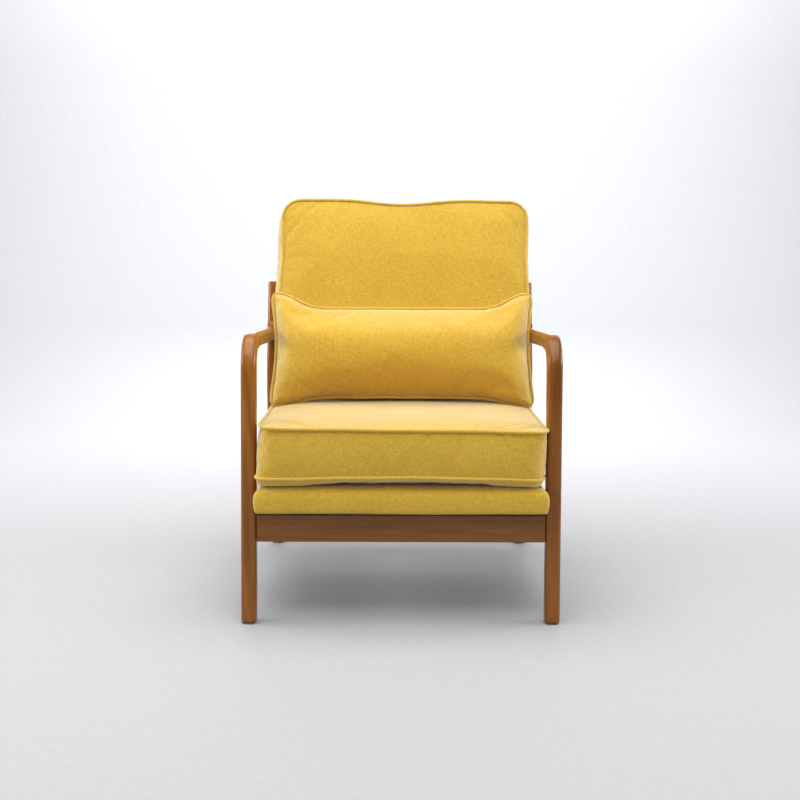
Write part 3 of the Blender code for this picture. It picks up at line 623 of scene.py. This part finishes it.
# %% [markdown]
# Piping is a cord wrapped in a strip of the same cloth and sewn into the seam. Its route is drawn on the
# plain shape, as a rectangle with round corners, and then moves with the cushion's nearest points.
# %% Piping
PIPING_RADIUS = 0.0033
PIPING_STEP = 0.006
PIPING_STAND_OFF = 0.0015  # how far outside the plain shape the route runs
CORNER_STEPS = 8
BIAS = math.radians(45)


def round_rectangle(half_width, low, high, radius):
    """Evenly spaced points round a rectangle that is centred across and runs from low to high."""
    corners = [(1, 1), (-1, 1), (-1, -1), (1, -1)]
    outline = []
    for quarter, (side, end) in enumerate(corners):
        middle = (half_width - radius) * side
        level = (high - radius) if end > 0 else (low + radius)
        for step in range(CORNER_STEPS + 1):
            angle = (quarter + step / CORNER_STEPS) * math.pi / 2
            outline.append((middle + radius * math.cos(angle), level + radius * math.sin(angle)))
    outline = np.array(outline + outline[:1])
    steps = np.linalg.norm(np.diff(outline, axis=0), axis=1)
    lengths = np.concatenate([[0.0], np.cumsum(steps)])
    stations = np.arange(0.0, lengths[-1] - PIPING_STEP / 2, PIPING_STEP)
    return np.stack([np.interp(stations, lengths, outline[:, axis]) for axis in (0, 1)], axis=1)


def follow(route, plain, final, neighbours=6, passes=6):
    """Moves a closed route as the nearest points of the mesh have moved, and smooths it."""
    tree = KDTree(len(plain))
    for index, point in enumerate(plain):
        tree.insert(point, index)
    tree.balance()
    moved = []
    for point in route:
        near = [index for _, index, _ in tree.find_n(point, neighbours)]
        moved.append(point + (final[near] - plain[near]).mean(axis=0))
    moved = np.array(moved)
    for _ in range(passes):
        moved = (np.roll(moved, 1, axis=0) + 2 * moved + np.roll(moved, -1, axis=0)) / 4
    return moved


def piping(name, route, body):
    """A closed, round tube along the route."""
    curve = bpy.data.curves.new(name, "CURVE")
    curve.dimensions = "3D"
    curve.bevel_depth = PIPING_RADIUS
    curve.bevel_resolution = 3
    spline = curve.splines.new("POLY")
    spline.points.add(len(route) - 1)
    spline.points.foreach_set("co", np.c_[route, np.ones(len(route))].ravel())
    spline.use_cyclic_u = True
    tube = bpy.data.objects.new(name, curve)
    scene.collection.objects.link(tube)
    only(tube)
    bpy.ops.object.convert(target="MESH")
    tube = bpy.context.object
    lay_weave(tube, BIAS)
    dress(tube, body)


def dress(piece, body):
    """Smooth shading, the mustard cloth, and the body that the piece rides on."""
    only(piece)
    bpy.ops.object.shade_smooth()
    piece.data.materials.clear()
    piece.data.materials.append(mustard)
    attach(piece, body)


def refine(piece):
    """One subdivision, which rounds the net."""
    smooth = piece.modifiers.new("smooth", "SUBSURF")
    smooth.levels = smooth.render_levels = 1
    apply_all(piece)


# %% [markdown]
# The seat cushion is a box cushion: two panels with a boxing strip between them, piped at both seams. It
# is crowned on top, flat where it lies on the platform, and squeezed a little between the front legs.
# %% Seat cushion
NET = 0.006
SEAM_REACH = 0.0045  # a point this near to a seam is sewn into it
SEAT_CORNER = 0.026
SEAT_ROLL = 0.012
SEAT_SWELL = 0.0105
SEAT_RIPPLE, SEAT_RIPPLE_SIZE = 0.0016, 0.12
SEAT_SIDE_ROOM = 0.0012
SEAT_SIDE_BULGE = 0.0060  # more room behind the legs, and none beside the rear posts
seat_low, seat_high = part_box("seat_cushion")
seat_x = 0.2800
seat_front = seat_low.y + 0.0040
seat_back = seat_high.y - 0.0040
seat_bottom = seat_low.z + 0.0015
seat_bottom_seam = 0.2930
seat_top_seam = 0.3925


def upright(start, end):
    return abs(start.z - end.z) > 0.01


def near_levels(values, levels, reach):
    """True where a value lies within reach of one of the levels."""
    return np.min([np.abs(values - level) for level in levels], axis=0) < reach


def past_outline(across, along, half_width, half_length, radius):
    """How far each point lies outside a rectangle with round corners; inside it, less than 0."""
    straight = np.maximum(np.abs(across) - half_width, np.abs(along) - half_length)
    corner_x = np.maximum(np.abs(across) - (half_width - radius), 0)
    corner_y = np.maximum(np.abs(along) - (half_length - radius), 0)
    in_corner = (corner_x > 0) & (corner_y > 0)
    return np.where(in_corner, np.hypot(corner_x, corner_y) - radius, straight)


def settle(points):
    """The wear of a used cushion: its front corners pull out or in, and its seams sag a little."""
    x, y, z = points.T
    side = x / seat_x
    high = (z - seat_bottom_seam) / (seat_top_seam - seat_bottom_seam)
    corner = np.exp(-(((np.abs(x) - seat_x) / 0.045) ** 2) - ((y - seat_front) / 0.055) ** 2)
    right, left = corner * (x > 0), corner * (x < 0)
    out = right * (0.0065 * high - 0.001) + left * (0.0055 * high - 0.0060 * (1 - high))
    front = np.exp(-(((y - seat_front) / 0.10) ** 2))
    sag = front * (0.0035 * np.exp(-((side / 0.45) ** 2)) * (1 - high) - 0.0028 * side * high)
    sag += left * 0.002 * high - right * 0.003 * (1 - high)
    ahead = -0.004 * corner * high
    return points + np.stack([out, ahead, sag], axis=1)


def seat_limits(points):
    """Keeps the cushion off the platform, the legs and the posts."""
    x, y, z = points.T
    leg = np.abs(y - front_y)
    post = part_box("rear_post_left")[0].y
    behind_leg = ease(leg, LEG_DEPTH / 2, LEG_DEPTH / 2 + 0.05)
    room = inner_x - SEAT_SIDE_ROOM + SEAT_SIDE_BULGE * behind_leg
    room -= SEAT_SIDE_BULGE * ease(y, post - 0.05, post)
    points[:, 0] = np.clip(x, -room, room)
    points[:, 2] = np.maximum(z, seat_low.z + 0.0001)
    points[:, 1] = np.clip(y, seat_low.y - 0.006, seat_high.y + 0.004)
    return points


def underneath(start, end):
    return max(start.z, end.z) < seat_bottom + 0.0001


seat_start = (-seat_x, seat_front, seat_bottom)
seat_end = (seat_x, seat_back, seat_top_seam)
seat_cover = new_box("seat_cushion_cover", seat_start, seat_end)
bevel_edges(seat_cover, upright, SEAT_CORNER, 6)
bevel_edges(seat_cover, underneath, SEAT_ROLL, 4)
even_net(seat_cover, NET)
lay_weave(seat_cover)
seat_plain = coordinates(seat_cover)
seat_rest = settle(seat_plain) + ripples(seat_plain, SEAT_RIPPLE_SIZE, SEAT_RIPPLE, seed=3.1)
set_coordinates(seat_cover, seat_rest)
from_middle = seat_plain[:, 1] - (seat_front + seat_back) / 2
rim = past_outline(seat_plain[:, 0], from_middle, seat_x, (seat_back - seat_front) / 2, radius=0)
pins = near_levels(seat_plain[:, 2], (seat_bottom_seam, seat_top_seam), SEAM_REACH)
pins &= rim > -SEAM_REACH
seat_blown = blow_up(seat_cover, pins, frames=16, pressure=4.0, slack=0.01)
seat_final = seat_limits(capped(seat_rest, seat_blown, SEAT_SWELL))
set_coordinates(seat_cover, seat_final)
for label, level in (("top", seat_top_seam - 0.002), ("bottom", seat_bottom_seam + 0.002)):
    ends = (seat_front - PIPING_STAND_OFF, seat_back + PIPING_STAND_OFF)
    outline = round_rectangle(seat_x + PIPING_STAND_OFF, *ends, SEAT_CORNER)
    route = np.c_[outline, np.full(len(outline), level)]
    piping(f"seat_piping_{label}", follow(route, seat_plain, seat_final), "seat_cushion")
refine(seat_cover)
dress(seat_cover, "seat_cushion")
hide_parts("seat_cushion")
print("seat cushion:", len(seat_plain), "points, top at", round(seat_final[:, 2].max(), 4))

# %% [markdown]
# The back cushion is softer. It is modelled upright and then leaned back. Its foot is cut level, so that
# it stands on the seat cushion, its top edge dips in the middle, and the armrests squeeze its sides.
# %% Back cushion
BACK_FACE_DEPTH = 0.3600
BACK_FACE_HEIGHT = 0.5600
BACK_CORNER = 0.040
BACK_DIP = 0.0130
BACK_SWELL = 0.014
BACK_RIPPLE, BACK_RIPPLE_SIZE = 0.0028, 0.14
BACK_DEEPEST = 0.1563  # the slats stand here, behind the cushion
BACK_SIDE_ROOM = 0.0010
BACK_SIDE_BULGE = 0.0120  # where neither an armrest nor a post is in the way
back_x = 0.2845
back_front = 0.004
back_rear = 0.1520
back_foot = seat_high.z + 0.0008
back_height = (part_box("back_cushion")[1].z - back_foot) / math.cos(recline) + 0.001
lean = Matrix.Rotation(-recline, 4, "X")
back_foot_y = front_y + BACK_FACE_DEPTH + (back_foot - BACK_FACE_HEIGHT) * math.tan(recline)
back_origin = Vector((0, back_foot_y, back_foot))
place_back = Matrix.Translation(back_origin) @ lean


def moved_by(matrix, points):
    """The points, turned and moved by a matrix."""
    turned = np.array(matrix.to_3x3())
    return points @ turned.T + np.array(matrix.translation)


def slump(points):
    """Cuts the foot level and lets the top edge dip between the corners."""
    x, y, z = points.T
    share = np.clip(z / back_height, 0.0, 1.0)
    level = y * math.tan(recline) * (1 - share)
    side = x / back_x
    dip = BACK_DIP * np.exp(-(((x + 0.007) / 0.090) ** 2)) + 0.004 * ease(x, 0.0, back_x)
    forward = 1 - y / back_rear
    boxing = 4 * forward * (1 - forward) * ease(np.abs(side), 0.75, 1.0)
    taper = (0.0040 - 0.0085 * side) * forward
    bulge = np.copysign(boxing, side) * 0.011 * ease(share, 0.30, 0.42)
    waist = -0.004 * side * forward * np.exp(-(((share - 0.72) / 0.10) ** 2))
    across = taper + bulge + waist + 0.007 * share**2
    return points + np.stack([across, 0 * x, level - dip * share**3], axis=1)


def back_limits(points):
    """Keeps the leaned cushion between the armrests and the posts, off the slats and off the seat."""
    x, y, z = points.T
    arm = ease(z, 0.475, 0.505) * (1 - ease(z, 0.590, 0.640))
    post = ease(y, front_y + 0.42, front_y + 0.46) * (1 - ease(z, 0.655, 0.680))
    room = inner_x - BACK_SIDE_ROOM + BACK_SIDE_BULGE * (1 - np.maximum(arm, post))
    points[:, 0] = np.clip(x, -room, room)
    points[:, 2] = np.maximum(z, back_foot)
    return points


def back_local_limits(points):
    """In the upright frame: flat behind, where the slats are, and flat where the pillow presses."""
    x, y, z = points.T
    crown = 0.001 + 0.011 * ease(z, 0.20, 0.42)
    points[:, 1] = np.clip(y, -crown, BACK_DEEPEST)
    return points


def deep(start, end):
    return abs(start.y - end.y) > 0.01


back_start, back_end = (-back_x, back_front, 0), (back_x, back_rear, back_height)
back_cover = new_box("back_cushion_cover", back_start, back_end)
bevel_edges(back_cover, deep, BACK_CORNER, 6)
even_net(back_cover, NET)
lay_weave(back_cover)
back_plain = coordinates(back_cover)
back_rest = slump(back_plain) + ripples(back_plain, BACK_RIPPLE_SIZE, BACK_RIPPLE, seed=7.7)
set_coordinates(back_cover, back_rest)
from_middle = back_plain[:, 2] - back_height / 2
rim = past_outline(back_plain[:, 0], from_middle, back_x, back_height / 2, BACK_CORNER)
pins = near_levels(back_plain[:, 1], (back_front, back_rear), SEAM_REACH)
pins &= rim > -SEAM_REACH
back_blown = blow_up(back_cover, pins, frames=18, pressure=4.0, slack=0.008)
back_final = back_local_limits(capped(back_rest, back_blown, BACK_SWELL))
back_final = back_limits(moved_by(place_back, back_final))
set_coordinates(back_cover, back_final)
for label, level in (("front", back_front + 0.002), ("rear", back_rear - 0.002)):
    ends = (-PIPING_STAND_OFF, back_height + PIPING_STAND_OFF)
    outline = round_rectangle(back_x + PIPING_STAND_OFF, *ends, BACK_CORNER)
    route = np.stack([outline[:, 0], np.full(len(outline), level), outline[:, 1]], axis=1)
    route = follow(route, back_plain, back_final)
    route[:, 2] = np.maximum(route[:, 2], back_foot + PIPING_RADIUS)
    piping(f"back_piping_{label}", route, "back_cushion")
refine(back_cover)
dress(back_cover, "back_cushion")
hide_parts("back_cushion")
print("back cushion:", len(back_plain), "points, top at", round(back_final[:, 2].max(), 4))

# %% [markdown]
# The lumbar pillow has no boxing: two panels are sewn edge to edge round one piping. They swell apart from
# a slab cut with hollow edges, so the corners stay out as ears, and cloth blown up on it adds the puckers.
# %% Lumbar pillow
PILLOW_HEIGHT_ABOVE_FLOOR = 0.5150
PILLOW_HALF_THICKNESS = 0.0600
PILLOW_CORNER = 0.0180
PILLOW_SWELL = 0.0600
PILLOW_EAR_POWER = 6.5
PILLOW_NET = 0.005
PILLOW_RIPPLE, PILLOW_RIPPLE_SIZE = 0.0020, 0.09
PILLOW_STAND_OFF = 0.002
PILLOW_SEAM = 0.006  # points this near to the middle plane are held
HOLLOW_TOP, HOLLOW_FOOT, HOLLOW_SIDES = 0.28, 0.18, 0.050
ROLL_ANGLE = math.radians(85)
ROLL_START = 0.078
ROLL_END = 0.112
pillow_x = 0.2885
pillow_z = 0.1270
pillow_slab = 0.0060
pillow_depth = BACK_FACE_DEPTH + (PILLOW_HEIGHT_ABOVE_FLOOR - BACK_FACE_HEIGHT) * math.tan(recline)
pillow_away = (PILLOW_HALF_THICKNESS + 0.0020) / math.cos(recline)
pillow_origin = Vector((0.003, front_y + pillow_depth - pillow_away, PILLOW_HEIGHT_ABOVE_FLOOR))
place_pillow = Matrix.Translation(pillow_origin) @ lean


def waisted(points):
    """The panels are cut with hollow edges, so that the pillow's sides pull in between its ears."""
    x, y, z = points.T
    middle = 1 - ease(np.abs(x), 0.17, 0.29)
    flatter = middle * np.where(z > 0, HOLLOW_TOP, HOLLOW_FOOT)
    narrower = HOLLOW_SIDES * (1 - (z / pillow_z) ** 2)
    return np.stack([x * (1 - narrower), y, z * (1 - flatter)], axis=1)


def plump(points):
    """The two panels swell apart from their seam, most in the middle and least at the ears."""
    x, y, z = points.T
    tall = np.clip(1 - (z / pillow_z) ** 2, 0, 1)
    wide = np.clip(1 - np.abs(x / pillow_x) ** PILLOW_EAR_POWER, 0, 1)
    edge = np.minimum(pillow_x - np.abs(x), pillow_z - np.abs(z))
    thinner = 0.25 + 0.75 * ease(edge, 0.0, 0.015)
    swell = PILLOW_SWELL * np.sqrt(tall * wide)
    return np.stack([x, (y * 0.5 + np.copysign(swell, y)) * thinner, z], axis=1)


def rolled(points):
    """The seam along the top tips back behind the pillow's plump face."""
    x, y, z = points.T
    middle = 1 - ease(np.abs(x), 0.16, 0.26)
    tilt = ROLL_ANGLE * middle * ease(z, ROLL_START, ROLL_END)
    above = np.maximum(z - ROLL_START, 0.0)
    back = y + above * np.sin(tilt)
    return np.stack([x, back, z - above * (1 - np.cos(tilt))], axis=1)


pillow_half = Vector((pillow_x, pillow_slab, pillow_z))
pillow_cover = new_box("lumbar_pillow_cover", -pillow_half, pillow_half)
bevel_edges(pillow_cover, deep, PILLOW_CORNER, 5)
even_net(pillow_cover, PILLOW_NET)
set_coordinates(pillow_cover, waisted(plump(coordinates(pillow_cover))))
even_net(pillow_cover, PILLOW_NET)
lay_weave(pillow_cover)
pillow_plain = coordinates(pillow_cover)
puckers = ripples(pillow_plain, PILLOW_RIPPLE_SIZE, PILLOW_RIPPLE, seed=5.2)
set_coordinates(pillow_cover, pillow_plain + puckers)
seam = np.abs(pillow_plain[:, 1]) < PILLOW_SEAM
blow_up(pillow_cover, seam, frames=10, pressure=6.0, slack=0.015)
soften = pillow_cover.modifiers.new("soften", "SMOOTH")
soften.iterations = 3
apply_all(pillow_cover)
pillow_blown = coordinates(pillow_cover)
pillow_low, pillow_high = pillow_blown.min(axis=0), pillow_blown.max(axis=0)
print("blown pillow:", (pillow_high - pillow_low).round(4))
pillow_blown -= (pillow_low + pillow_high) / 2
pillow_blown = rolled(pillow_blown)
pillow_blown[:, 1] = np.minimum(pillow_blown[:, 1], PILLOW_HALF_THICKNESS)
pillow_final = moved_by(place_pillow, pillow_blown)
pillow_rests = back_foot + 0.0006 - 0.006 * ease(np.abs(pillow_final[:, 0]), 0.20, 0.27)
pillow_final[:, 2] = np.maximum(pillow_final[:, 2], pillow_rests)
set_coordinates(pillow_cover, pillow_final)
ends = (-pillow_z - PILLOW_STAND_OFF, pillow_z + PILLOW_STAND_OFF)
outline = round_rectangle(pillow_x + PILLOW_STAND_OFF, *ends, PILLOW_CORNER)
route = waisted(np.stack([outline[:, 0], np.zeros(len(outline)), outline[:, 1]], axis=1))
route = follow(route, pillow_plain, pillow_final, neighbours=10, passes=8)
piping("lumbar_piping", route, "lumbar_pillow")
refine(pillow_cover)
dress(pillow_cover, "lumbar_pillow")
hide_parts("lumbar_pillow")

# %% [markdown]
# The platform is a board with a thin layer of foam, covered in the same cloth. All that shows is its
# front edge, a soft band that swells past the legs in front of them. Its hollow takes the board.
# %% Seat platform
pad_low, pad_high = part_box("platform_pad")
PAD_TOP_ROUND = 0.021
PAD_CORNER = 0.009
PAD_FOOT_ROUND = 0.004
PAD_NET = 0.0055
PAD_RIPPLE, PAD_RIPPLE_SIZE = 0.0014, 0.08
BOARD_REACH = 0.02  # the hollow is open below the board


def pad_top(start, end):
    return min(start.z, end.z) > pad_high.z - 0.0001


def pad_foot(start, end):
    return max(start.z, end.z) < pad_low.z + 0.0001


pad_cover = new_box("platform_cover", pad_low, pad_high)
bevel_edges(pad_cover, upright, PAD_CORNER, 4)
bevel_edges(pad_cover, pad_top, PAD_TOP_ROUND, 5)
bevel_edges(pad_cover, pad_foot, PAD_FOOT_ROUND, 2)
even_net(pad_cover, PAD_NET)
lay_weave(pad_cover)
pad_points = coordinates(pad_cover)
x, y, z = pad_points.T
leg_face = front_y - LEG_DEPTH / 2
ahead = 1 - ease(y, leg_face - 0.012, leg_face - 0.002)
half_height = (pad_high.z - pad_low.z) / 2
waist = 1 - ((z - (pad_low.z + pad_high.z) / 2) / half_height) ** 2
pad_push = ripples(pad_points, PAD_RIPPLE_SIZE, PAD_RIPPLE, seed=9.4)
pad_points[:, 0] += np.sign(x) * ahead * ease(np.abs(x), 0.25, 0.28) * (0.003 + 0.003 * waist)
pad_points[:, 1] += ahead * (0.004 + pad_push[:, 1] - 0.0015 * waist)
pad_points[:, 2] = np.clip(pad_points[:, 2] + ahead * pad_push[:, 2], pad_low.z, pad_high.z)
set_coordinates(pad_cover, pad_points)
refine(pad_cover)
board_low, board_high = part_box("platform_board")
clearance = Vector((GAP, GAP, GAP))
hollow_low = board_low - clearance - Vector((0, 0, BOARD_REACH))
hollow = new_box("hollow", hollow_low, board_high + clearance)
cut = pad_cover.modifiers.new("hollow", "BOOLEAN")
cut.object = hollow
apply_all(pad_cover)
bpy.data.objects.remove(hollow)
dress(pad_cover, "frame")
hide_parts("platform_pad")
print("platform:", len(pad_cover.data.polygons), "faces")

# %% [markdown]
# The studio is a pale sweep of paper that runs from the floor up into the backdrop with no corner: a plane
# whose far edge is extruded upwards, with the fold between them rounded by a bevel.
# %% Studio sweep
SWEEP_HALF_WIDTH = 6.0
SWEEP_FRONT = -6.0
SWEEP_BACK = 3.6
SWEEP_RADIUS = 1.6
SWEEP_STEPS = 24
SWEEP_TOP = 5.0

bpy.ops.object.select_all(action="DESELECT")
bpy.ops.mesh.primitive_plane_add(size=1, location=(0, (SWEEP_FRONT + SWEEP_BACK) / 2, 0))
sweep = bpy.context.object
sweep.name = "studio_sweep"
sweep.scale = (2 * SWEEP_HALF_WIDTH, SWEEP_BACK - SWEEP_FRONT, 1)
bpy.ops.object.transform_apply(location=True, rotation=True, scale=True)
bpy.ops.object.mode_set(mode="EDIT")
bpy.ops.mesh.select_mode(type="EDGE")
bpy.ops.mesh.select_all(action="DESELECT")
bpy.ops.object.mode_set(mode="OBJECT")
for edge in sweep.data.edges:
    edge.select = all(sweep.data.vertices[i].co.y > SWEEP_BACK - 0.01 for i in edge.vertices)
bpy.ops.object.mode_set(mode="EDIT")
bpy.ops.mesh.extrude_region_move(TRANSFORM_OT_translate={"value": (0, 0, SWEEP_TOP)})
bpy.ops.object.mode_set(mode="OBJECT")


def inner_corner(start, end):
    return max(start.z, end.z) < 0.01 and min(start.y, end.y) > SWEEP_BACK - 0.01


bevel_edges(sweep, inner_corner, SWEEP_RADIUS, SWEEP_STEPS)
bpy.ops.object.shade_smooth()
paper = Finish("sweep_paper", Roughness=0.9)
specks = paper.noise(paper.node("TexCoord").output("Object"), (60.0, 60.0, 60.0), detail=2.0)
stops = [(0.3, (0.435, 0.440, 0.455)), (0.7, (0.455, 0.460, 0.475))]
paper.feed("Base Color", paper.node("ValToRGB", {"stops": stops}, {"Fac": specks}))
sweep.data.materials.append(paper.material)
print("sweep:", len(sweep.data.polygons), "faces")

# %% [markdown]
# A large soft lamp hangs over the chair and a small one stands in front. Low, wide lamps at both sides and
# behind keep the floor under the seat from going black, one washes the backdrop, and a pale sky fills in.
# %% Lamps
WHITE = (1.0, 1.0, 1.0)


def soft_light(name, place, target, size, watts, colour=WHITE):
    """A rectangular lamp of the given size and power that faces a target."""
    lamp = bpy.data.lights.new(name, "AREA")
    lamp.shape = "RECTANGLE"
    lamp.size, lamp.size_y = size
    lamp.energy = watts
    lamp.color = colour
    light = bpy.data.objects.new(name, lamp)
    scene.collection.objects.link(light)
    light.location = place
    light.rotation_euler = (Vector(target) - Vector(place)).to_track_quat("-Z", "Y").to_euler()


soft_light("overhead", (-0.2, -0.65, 2.55), (0, 0, 0.4), (3.0, 2.8), 89, (1.0, 0.99, 0.97))
soft_light("front_fill", (0.3, -3.0, 2.2), (0, 0, 0.4), (0.5, 0.6), 9, (1.0, 0.98, 0.96))
soft_light("side_fill_left", (-3.0, 0.0, 1.15), (0, 0, 0.1), (2.0, 0.9), 44)
soft_light("side_fill_right", (3.0, 0.0, 1.15), (0, 0, 0.1), (2.0, 0.9), 44)
soft_light("back_fill", (0, 2.4, 1.3), (0, 0.2, 0), (2.5, 0.8), 24)
soft_light("backdrop_wash", (0, 1.3, 3.0), (0, SWEEP_BACK, 2.3), (4.5, 0.6), 190)
surroundings = bpy.data.worlds.new("surroundings")
surroundings.use_nodes = True
sky = surroundings.node_tree.nodes["Background"]
sky.inputs["Color"].default_value = (0.94, 0.96, 1.0, 1.0)
sky.inputs["Strength"].default_value = 0.30
scene.world = surroundings
scene.view_settings.view_transform = "Standard"
print("studio ready")

# %% [markdown]
# The finished chair has to stay close to the CAD model's box, so both boxes are written down.
# %% Sizes and finish
print("scene built")
